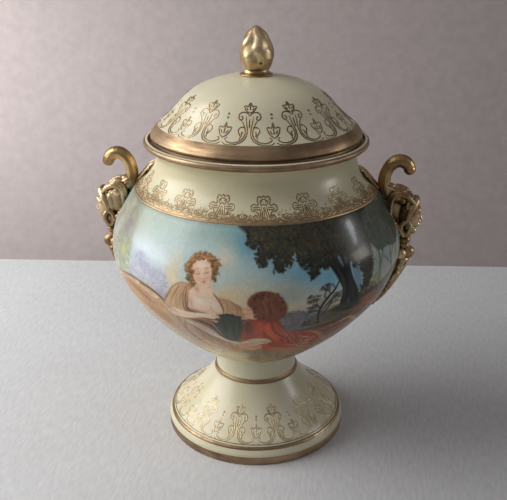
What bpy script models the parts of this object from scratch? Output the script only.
"""A covered porcelain vase on a pedestal foot, with two gilt mask handles and a bud finial.

Run it with blender --background --python part.py, or from Blender's text editor.
Sizes are in millimetres, and MM turns them into Blender's metres. +Z is up, and the origin is
the centre of the foot's resting face. The handles stand on +X and -X, and -Y is the front.
"""

import math

import bmesh
import bpy
from mathutils import Matrix, Vector

MM = 0.001
GAP = 0.3  # between pieces that touch on the real vase

# Driving dimensions
FOOT_RADIUS = 74.8
FOOT_TOP = 50.0
STEM_RADIUS = 33.6
STEM_TOP = 70.4
BOWL_BASE = STEM_TOP + GAP
BELLY_RADIUS = 113.2
SHOULDER_RADIUS, SHOULDER_HEIGHT = 93.7, 210.6
NECK_RADIUS = 77.0
RIM_RADIUS = 85.9
RIM_TOP = 249.7
MOUTH_RADIUS = 72.0
LID_RADIUS = 80.5
LID_SEAT = RIM_TOP + GAP
LID_TOP = 294.8
BUD_RADIUS = 12.8
OVERALL_HEIGHT = 330.0

WALL = 4.8
LID_WALL = 4.4
FOOT_WALL = 5.0
BOWL_FLOOR = BOWL_BASE + 5.8
FOOT_CEILING = FOOT_TOP - FOOT_WALL - 0.5
BOLT_RADIUS = 3.5
BOLT_HOLE_RADIUS = 4.5

TURNED_SIDES = 40
SMALL_SIDES = 24

# The crest of each outline, from its lower end to its upper end, as (radius, height)
BOWL_SIDE = [
    (STEM_RADIUS, BOWL_BASE),
    (44.4, 76.0),
    (55.8, 84.0),
    (67.9, 94.0),
    (80.7, 106.0),
    (93.2, 120.0),
    (103.3, 134.0),
    (109.6, 148.0),
    (112.7, 160.0),
    (BELLY_RADIUS, 170.0),
    (110.3, 183.0),
    (103.2, 196.0),
    (SHOULDER_RADIUS, SHOULDER_HEIGHT),
]
NECK_SIDE = [
    (SHOULDER_RADIUS, SHOULDER_HEIGHT),
    (86.6, 216.6),
    (81.0, 222.8),
    (77.9, 229.5),
    (NECK_RADIUS, 236.0),
    (78.9, 240.8),
    (84.4, 244.2),
]
RIM_ROLL = [(85.6, 245.2), (RIM_RADIUS, 246.6), (85.3, 247.9), (83.6, 248.9), (80.5, 249.5)]
FOOT_SIDE = [
    (FOOT_RADIUS, 7.6),
    (74.3, 10.2),
    (72.0, 13.1),
    (67.2, 18.2),
    (59.4, 24.3),
    (52.0, 30.2),
    (45.8, 36.2),
    (40.8, 42.2),
    (37.2, 47.0),
    (35.6, FOOT_TOP),
]
LID_SIDE = [
    (LID_RADIUS, 252.2),
    (78.6, 255.6),
    (74.8, 259.2),
    (70.2, 263.0),
    (65.2, 267.4),
    (60.6, 272.2),
    (56.0, 277.4),
    (50.3, 282.3),
    (42.4, 287.0),
    (31.0, 291.4),
    (20.0, 294.0),
    (12.9, LID_TOP),
]
BUD_SIDE = [
    (8.4, 298.5),
    (10.9, 302.5),
    (12.6, 307.6),
    (BUD_RADIUS, 311.2),
    (11.9, 316.4),
    (9.0, 321.6),
    (5.0, 326.6),
]

# The handle's pieces, drawn in its own upright plane as (distance from the axis, height)
SCROLL_LINE = [
    (98.6, 206.0, 5.8),
    (98.5, 212.5, 5.3),
    (98.6, 219.0, 4.9),
    (99.8, 225.4, 5.2),
    (102.9, 230.4, 5.8),
    (107.6, 232.3, 6.0),
    (112.5, 231.0, 5.7),
    (116.2, 227.4, 5.2),
    (117.0, 224.4, 4.9),
]  # (distance, height, radius)
STRUT_LINE = [
    (77.8, 225.6, 1.2),
    (81.6, 222.4, 2.6),
    (85.8, 218.7, 3.3),
    (90.0, 215.0, 3.5),
    (94.0, 211.5, 3.5),
]
SCROLL_FOOT = 207.3
STRUT_END = 92.5
BRACKET_OUTLINE = [
    (90.0, 207.0),
    (105.6, 207.0),
    (105.6, 212.4),
    (107.2, 214.6),
    (109.9, 213.4),
    (109.9, 186.6),
    (106.0, 180.0),
    (90.0, 186.0),
]
BRACKET_HALF_WIDTH = 7.6
MASK_BACK = 110.2
MASK_BOTTOM = 172.4
DROP_TOP = MASK_BOTTOM - GAP
DROP_LEAF_LINE = [
    (113.2, 152.0, 6.8),
    (111.2, 142.0, 6.2),
    (105.6, 131.0, 5.4),
    (98.2, 121.0, 4.4),
    (92.2, 114.4, 3.2),
]


# ---------------------------------------------------------------- tools


def clear_scene():
    for obj in list(bpy.data.objects):
        bpy.data.objects.remove(obj, do_unlink=True)


def material(name, colour, roughness, metallic=0.0):
    made = bpy.data.materials.new(name)
    made.use_nodes = True
    shader = made.node_tree.nodes["Principled BSDF"]
    shader.inputs["Base Color"].default_value = (*colour, 1.0)
    shader.inputs["Roughness"].default_value = roughness
    shader.inputs["Metallic"].default_value = metallic
    return made


def catmull_rom(points, per_span):
    """A smooth line through the points, with per_span steps between each pair."""
    points = [Vector(p) for p in points]
    line = []
    last = len(points) - 1
    for i in range(last):
        before = points[i - 1] if i > 0 else 2 * points[0] - points[1]
        after = points[i + 2] if i + 2 <= last else 2 * points[last] - points[last - 1]
        start, end = points[i], points[i + 1]
        for step in range(per_span):
            t = step / per_span
            line.append(
                0.5
                * (
                    2 * start
                    + (end - before) * t
                    + (2 * before - 5 * start + 4 * end - after) * t**2
                    + (3 * start - before - 3 * end + after) * t**3
                )
            )
    line.append(points[last])
    return line


def offset_line(points, distance):
    """The points moved sideways, to the left of the line's direction if distance is positive."""
    points = [Vector(p) for p in points]
    moved = []
    for i, point in enumerate(points):
        ahead = points[min(i + 1, len(points) - 1)]
        behind = points[max(i - 1, 0)]
        direction = (ahead - behind).normalized()
        moved.append(point + distance * Vector((-direction.y, direction.x)))
    return moved


def finish(name, bm, paint, smooth_angle=35.0):
    """Turns the bmesh into a named, shaded object."""
    bmesh.ops.recalc_face_normals(bm, faces=bm.faces)
    mesh = bpy.data.meshes.new(name)
    bm.to_mesh(mesh)
    bm.free()
    mesh.materials.append(paint)
    mesh.shade_smooth()
    mesh.set_sharp_from_angle(angle=math.radians(smooth_angle))
    obj = bpy.data.objects.new(name, mesh)
    bpy.context.scene.collection.objects.link(obj)
    return obj


def on_circle(radius, angle, height):
    return Vector((radius * math.cos(angle), radius * math.sin(angle), height)) * MM


def turned(name, outline, paint, sides=TURNED_SIDES):
    """A piece turned about Z from a closed outline of (radius, height).

    A radius of 0 is a point on the axis."""
    bm = bmesh.new()
    rings = []
    for radius, height in outline:
        if radius == 0:
            rings.append([bm.verts.new((0, 0, height * MM))] * sides)
            continue
        rings.append([bm.verts.new(on_circle(radius, math.tau * i / sides, height)) for i in range(sides)])
    for lower, upper in zip(rings, rings[1:] + rings[:1]):
        if lower[0] is lower[1] and upper[0] is upper[1]:
            continue
        for i in range(sides):
            j = (i + 1) % sides
            corners = [lower[i], lower[j], upper[j], upper[i]]
            bm.faces.new(list(dict.fromkeys(corners)))
    return finish(name, bm, paint)


def rounded_cap(before, end):
    """Three smaller and smaller rings past the end of a (distance, height, radius) line."""
    heading = (end - before).xy.normalized()
    cap = []
    for degrees in (30, 55, 75):
        turn = math.radians(degrees)
        centre = end.xy + heading * end.z * math.sin(turn)
        cap.append(Vector((centre.x, centre.y, end.z * math.cos(turn))))
    return cap


def swept(name, line, paint, sides=12, squash=1.0):
    """A round bar along (distance, height, radius) points in the XZ plane, with rounded ends.

    squash scales its width along Y."""
    points = [Vector(p) for p in line]
    start_cap = rounded_cap(points[1], points[0])
    points = start_cap[::-1] + points + rounded_cap(points[-2], points[-1])
    bm = bmesh.new()
    rings = []
    for i, point in enumerate(points):
        ahead = points[min(i + 1, len(points) - 1)].xy
        behind = points[max(i - 1, 0)].xy
        direction = (ahead - behind).normalized()
        across = Vector((-direction.y, direction.x))
        ring = []
        for k in range(sides):
            angle = math.tau * k / sides
            out = point.xy + across * point.z * math.cos(angle)
            ring.append(bm.verts.new(Vector((out.x, point.z * squash * math.sin(angle), out.y)) * MM))
        rings.append(ring)
    for one, two in zip(rings, rings[1:]):
        for k in range(sides):
            n = (k + 1) % sides
            bm.faces.new([one[k], one[n], two[n], two[k]])
    bm.faces.new(rings[0])
    bm.faces.new(rings[-1])
    return finish(name, bm, paint, 50.0)


def extruded(name, outline, half_width, bevel, paint):
    """A plate with a (distance, height) outline in the XZ plane and rounded edges.

    It reaches half_width to each side of that plane."""
    bm = bmesh.new()
    near = [bm.verts.new(Vector((x, -half_width, z)) * MM) for x, z in outline]
    far = [bm.verts.new(Vector((x, half_width, z)) * MM) for x, z in outline]
    bm.faces.new(near)
    bm.faces.new(far[::-1])
    for i in range(len(outline)):
        j = (i + 1) % len(outline)
        bm.faces.new([near[j], near[i], far[i], far[j]])
    face_edges = [e for e in bm.edges if e.verts[0].co.y == e.verts[1].co.y]
    bmesh.ops.bevel(bm, geom=face_edges, offset=bevel * MM, segments=2, profile=0.5, affect="EDGES")
    return finish(name, bm, paint, 40.0)


def blended(name, balls, voxel, share, paint):
    """Overlapping ellipsoids, each (centre, radii), grown together into one closed skin."""
    bm = bmesh.new()
    for centre, radii in balls:
        place = Matrix.Translation(Vector(centre) * MM) @ Matrix.Diagonal((*(Vector(radii) * MM), 1.0))
        bmesh.ops.create_uvsphere(bm, u_segments=16, v_segments=10, radius=1.0, matrix=place)
    obj = finish(name, bm, paint, 60.0)
    skin = obj.modifiers.new("skin", "REMESH")
    skin.mode = "VOXEL"
    skin.voxel_size = voxel * MM
    fewer = obj.modifiers.new("fewer", "DECIMATE")
    fewer.ratio = share
    return obj


def cut(obj, cutter):
    """Takes the cutter's solid away from obj."""
    modifier = obj.modifiers.new("cut", "BOOLEAN")
    modifier.operation = "DIFFERENCE"
    modifier.object = cutter
    return obj


def block(name, low, high):
    """A box between two corners, used to cut flat joints."""
    bm = bmesh.new()
    size = Vector(high) - Vector(low)
    middle = (Vector(high) + Vector(low)) / 2
    place = Matrix.Translation(middle * MM) @ Matrix.Diagonal((*(size * MM), 1.0))
    bmesh.ops.create_cube(bm, size=1.0, matrix=place)
    return as_cutter(finish(name, bm, bpy.data.materials["cutter"]))


def as_cutter(obj):
    obj.hide_render = True
    obj.display_type = "WIRE"
    return obj


def carry(name, height, pieces):
    """An empty on the axis at this height, which the pieces move with."""
    empty = bpy.data.objects.new(name, None)
    empty.location.z = height * MM
    bpy.context.scene.collection.objects.link(empty)
    for piece in pieces:
        piece.parent = empty
        piece.location.z = -height * MM


def applied(obj):
    """The object's mesh with its modifiers applied. The object itself is removed."""
    graph = bpy.context.evaluated_depsgraph_get()
    mesh = bpy.data.meshes.new_from_object(obj.evaluated_get(graph))
    name = obj.name
    bpy.data.objects.remove(obj)
    mesh.name = name
    return mesh


def pair(name, mesh):
    """The piece on both sides: as modelled on +X, and turned half round the axis for -X."""
    for side, turn in (("right", 0.0), ("left", math.pi)):
        obj = bpy.data.objects.new(f"{name}_{side}", mesh)
        obj.rotation_euler.z = turn
        bpy.context.scene.collection.objects.link(obj)


# ---------------------------------------------------------------- the turned porcelain


def vessel_outline():
    """Base, belly, neck and rolled rim outside, then the inside wall back down to the floor."""
    outside = BOWL_SIDE + NECK_SIDE[1:] + RIM_ROLL + [(79.0, RIM_TOP)]
    bowl_wall = [tuple(p) for p in offset_line(BOWL_SIDE, WALL) if p.y > BOWL_FLOOR + 3.0]
    neck_wall = [tuple(p) for p in offset_line(NECK_SIDE, WALL) if SHOULDER_HEIGHT + 2.0 < p.y < 236.0]
    mouth = [(MOUTH_RADIUS, 238.5), (MOUTH_RADIUS, 248.6), (MOUTH_RADIUS + 1.1, RIM_TOP)]
    inside = bowl_wall + neck_wall + mouth
    base = [(BOLT_HOLE_RADIUS, BOWL_FLOOR), (BOLT_HOLE_RADIUS, BOWL_BASE)]
    return base + outside + inside[::-1] + [(36.0, BOWL_FLOOR + 1.2), (26.0, BOWL_FLOOR)]


def stem_outline():
    inner = STEM_RADIUS - 6.0
    low = FOOT_TOP + GAP
    return [
        (inner, low),
        (35.0, low),
        (35.4, low + 0.9),
        (34.9, low + 1.9),
        (STEM_RADIUS, low + 2.8),
        (33.2, 60.0),
        (STEM_RADIUS, STEM_TOP),
        (inner, STEM_TOP),
    ]


def foot_outline():
    """The flat resting ring, the flared side, and the hollow underneath."""
    under = [tuple(p) for p in offset_line(FOOT_SIDE, FOOT_WALL) if 12.0 < p.y < FOOT_CEILING - 0.5]
    ring = [(68.6, 0.0), (74.0, 0.0), (FOOT_RADIUS, 0.9)]
    hole = [(BOLT_HOLE_RADIUS, FOOT_TOP), (BOLT_HOLE_RADIUS, FOOT_CEILING), (30.0, FOOT_CEILING)]
    return ring + FOOT_SIDE + hole + under[::-1] + [(67.6, 8.0), (67.8, 1.0)]


def lid_outline():
    """The dome outside, the flat seat and the locating ring below it, then the hollow inside."""
    hollow = [tuple(p) for p in offset_line(LID_SIDE, LID_WALL) if 262.0 < p.y < 289.0]
    ring_out, ring_in, ring_low = MOUTH_RADIUS - 1.8, MOUTH_RADIUS - 6.4, 239.6
    seat = [
        (ring_in, ring_low + 1.0),
        (ring_in + 1.0, ring_low),
        (ring_out - 1.0, ring_low),
        (ring_out, ring_low + 1.0),
        (ring_out, LID_SEAT),
        (LID_RADIUS - 1.4, LID_SEAT),
        (LID_RADIUS - 0.4, LID_SEAT + 0.8),
    ]
    roof = [(0, LID_TOP), (0, LID_TOP - LID_WALL), (12.0, LID_TOP - LID_WALL - 0.1)]
    return seat + LID_SIDE + roof + hollow[::-1] + [(ring_in, 257.5)]


def finial_collar_outline():
    low = LID_TOP + GAP
    high = low + 3.1
    edge = [(11.3, low), (12.2, low + 0.7), (11.6, low + 1.6), (9.4, low + 2.3), (8.5, high)]
    return [(0, low)] + edge + [(0, high)]


def finial_bud(paint):
    """The bud, with shallow lobes round it that fade out towards its base and tip."""
    side = catmull_rom(BUD_SIDE, 2)
    tip = [(2.2, OVERALL_HEIGHT - 0.9), (0, OVERALL_HEIGHT)]
    outline = [(0, side[0].y)] + [tuple(p) for p in side] + tip
    bud = turned("finial_bud", outline, paint, SMALL_SIDES)
    lobes, depth = 6, 0.05
    low, high = side[0].y * MM, OVERALL_HEIGHT * MM
    for vertex in bud.data.vertices:
        along = (vertex.co.z - low) / (high - low)
        angle = math.atan2(vertex.co.y, vertex.co.x)
        swell = 1.0 - depth * math.sin(math.pi * along) * (1.0 - abs(math.cos(lobes / 2 * angle)))
        vertex.co.x *= swell
        vertex.co.y *= swell
    return bud


# ---------------------------------------------------------------- the tie bolt and what it clamps


def ring_outline(inner, outer, low, high):
    return [(inner, low), (outer, low), (outer, high), (inner, high)]


def hexagon_nut(name, across_flats, bore, low, high, paint):
    """A hexagon with a round bore."""
    corner = across_flats / math.sqrt(3)
    angles = [math.tau * i / SMALL_SIDES for i in range(SMALL_SIDES)]
    bm = bmesh.new()
    loops = []
    for height in (low, high):
        loops.append([bm.verts.new(on_circle(hexagon_reach(a, corner), a, height)) for a in angles])
        loops.append([bm.verts.new(on_circle(bore, a, height)) for a in angles])
    out_low, in_low, out_high, in_high = loops
    for one, two in ((out_low, out_high), (out_high, in_high), (in_high, in_low), (in_low, out_low)):
        for i in range(SMALL_SIDES):
            j = (i + 1) % SMALL_SIDES
            bm.faces.new([one[i], one[j], two[j], two[i]])
    return finish(name, bm, paint, 20.0)


def hexagon_reach(angle, outer):
    """How far a hexagon of this corner radius reaches from its centre at an angle."""
    third = math.pi / 3
    return outer * math.cos(third / 2) / math.cos((angle % third) - third / 2)


def fastening(steel, cork):
    """A bolt down through the bowl, the stem and the foot, with a cork and a steel washer at each end."""
    cork_top = BOWL_FLOOR + GAP + 2.0
    washer_top = cork_top + GAP + 1.5
    head_low = washer_top + GAP
    gasket = ring_outline(BOLT_HOLE_RADIUS, 14.0, BOWL_FLOOR + GAP, cork_top)
    turned("bowl_gasket", gasket, cork, SMALL_SIDES)
    washer = ring_outline(BOLT_HOLE_RADIUS, 12.0, cork_top + GAP, washer_top)
    turned("bowl_washer", washer, steel, SMALL_SIDES)
    bolt = [
        (0, 28.5),
        (BOLT_RADIUS - 0.8, 28.5),
        (BOLT_RADIUS, 29.3),
        (BOLT_RADIUS, head_low),
        (8.0, head_low),
        (8.4, head_low + 1.0),
        (7.4, head_low + 3.4),
        (4.4, head_low + 4.8),
        (0, head_low + 5.2),
    ]
    turned("tie_bolt", bolt, steel, SMALL_SIDES)
    cork_low = FOOT_CEILING - GAP - 2.0
    washer_low = cork_low - GAP - 1.5
    nut_top = washer_low - GAP
    gasket = ring_outline(BOLT_HOLE_RADIUS, 13.0, cork_low, FOOT_CEILING - GAP)
    turned("foot_gasket", gasket, cork, SMALL_SIDES)
    washer = ring_outline(BOLT_HOLE_RADIUS, 11.0, washer_low, cork_low - GAP)
    turned("foot_washer", washer, steel, SMALL_SIDES)
    hexagon_nut("foot_nut", 13.0, BOLT_RADIUS + GAP, nut_top - 6.0, nut_top, steel)


# ---------------------------------------------------------------- the handles


def vessel_clearance():
    """The vessel's outside made GAP larger and solid, which shapes the back of whatever lies on it."""
    grown = [tuple(p) for p in offset_line(BOWL_SIDE + NECK_SIDE[1:], -GAP)]
    outline = [(0, grown[0][1])] + grown + [(0, grown[-1][1])]
    return as_cutter(turned("vessel_clearance", outline, bpy.data.materials["cutter"]))


def scroll(gilt, vessel):
    smooth_line = catmull_rom(SCROLL_LINE, 2)
    bar = swept("handle_scroll", smooth_line, gilt)
    cut(bar, block("scroll_foot_cut", (80, -20, SCROLL_FOOT - 20), (120, 20, SCROLL_FOOT)))
    return applied(cut(bar, vessel))


def strut(gilt, vessel):
    leaf = swept("handle_strut", catmull_rom(STRUT_LINE, 2), gilt, sides=10, squash=1.35)
    cut(leaf, block("strut_end_cut", (STRUT_END, -20, 190), (120, 20, 230)))
    return applied(cut(leaf, vessel))


def bracket(gilt, vessel):
    plate = extruded("handle_bracket", BRACKET_OUTLINE, BRACKET_HALF_WIDTH, 1.6, gilt)
    return applied(cut(plate, vessel))


def mask(gilt, vessel):
    """A plain head in relief: face, nose and chin, with a leafy crown and hair down both sides."""
    balls = [
        ((111.0, 0, 192.0), (14.0, 12.5, 18.5)),
        ((117.5, 0, 189.5), (11.0, 9.8, 15.5)),
        ((127.0, 0, 188.5), (3.6, 2.4, 5.4)),
        ((121.5, 0, 177.8), (5.0, 4.6, 4.6)),
    ]
    for step in range(-3, 4):
        angle = math.radians(27 * step)
        balls.append(((114.5, 11.5 * math.sin(angle), 193.0 + 16.0 * math.cos(angle)), (6.6, 4.6, 5.2)))
    for side in (-1, 1):
        for drop in range(3):
            balls.append(((113.5 + drop, side * (12.0 - drop), 188.0 - 5.0 * drop), (5.4, 3.2, 4.4)))
    head = blended("handle_mask", balls, 1.5, 0.17, gilt)
    cut(head, block("mask_back_cut", (80, -30, 150), (MASK_BACK, 30, 230)))
    cut(head, block("mask_bottom_cut", (80, -30, 140), (150, 30, MASK_BOTTOM)))
    return applied(cut(head, vessel))


def drop(gilt, vessel):
    """Two beads under the mask, then a leaf that tapers down the belly."""
    balls = [((116.5, 0, 168.0), (6.4, 6.4, 5.8)), ((118.0, 0, 157.0), (8.4, 8.0, 7.0))]
    balls += [((x, 0, z), (r, r * 0.9, r)) for x, z, r in catmull_rom(DROP_LEAF_LINE, 3)]
    pendant = blended("handle_drop", balls, 1.5, 0.17, gilt)
    cut(pendant, block("drop_top_cut", (80, -30, DROP_TOP), (150, 30, 200)))
    return applied(cut(pendant, vessel))


def handles(gilt):
    vessel = vessel_clearance()
    pair("handle_scroll", scroll(gilt, vessel))
    pair("handle_bracket", bracket(gilt, vessel))
    pair("handle_strut", strut(gilt, vessel))
    pair("handle_mask", mask(gilt, vessel))
    pair("handle_drop", drop(gilt, vessel))


# ---------------------------------------------------------------- the whole vase


def main():
    clear_scene()
    painted = material("painted_porcelain", (0.42, 0.52, 0.50), 0.22)
    ivory = material("ivory_porcelain", (0.74, 0.70, 0.54), 0.22)
    gilt = material("gilt_porcelain", (0.62, 0.43, 0.17), 0.28, 1.0)
    steel = material("steel", (0.55, 0.55, 0.56), 0.35, 1.0)
    cork = material("cork", (0.46, 0.31, 0.18), 0.9)
    material("cutter", (1.0, 0.0, 1.0), 0.5)

    turned("vessel_body", vessel_outline(), painted)
    turned("stem_collar", stem_outline(), ivory)
    turned("foot", foot_outline(), ivory)
    lid = turned("lid_shell", lid_outline(), ivory)
    collar = turned("finial_collar", finial_collar_outline(), gilt, SMALL_SIDES)
    carry("lid_lift", LID_SEAT, [lid, collar, finial_bud(gilt)])
    fastening(steel, cork)
    handles(gilt)


main()
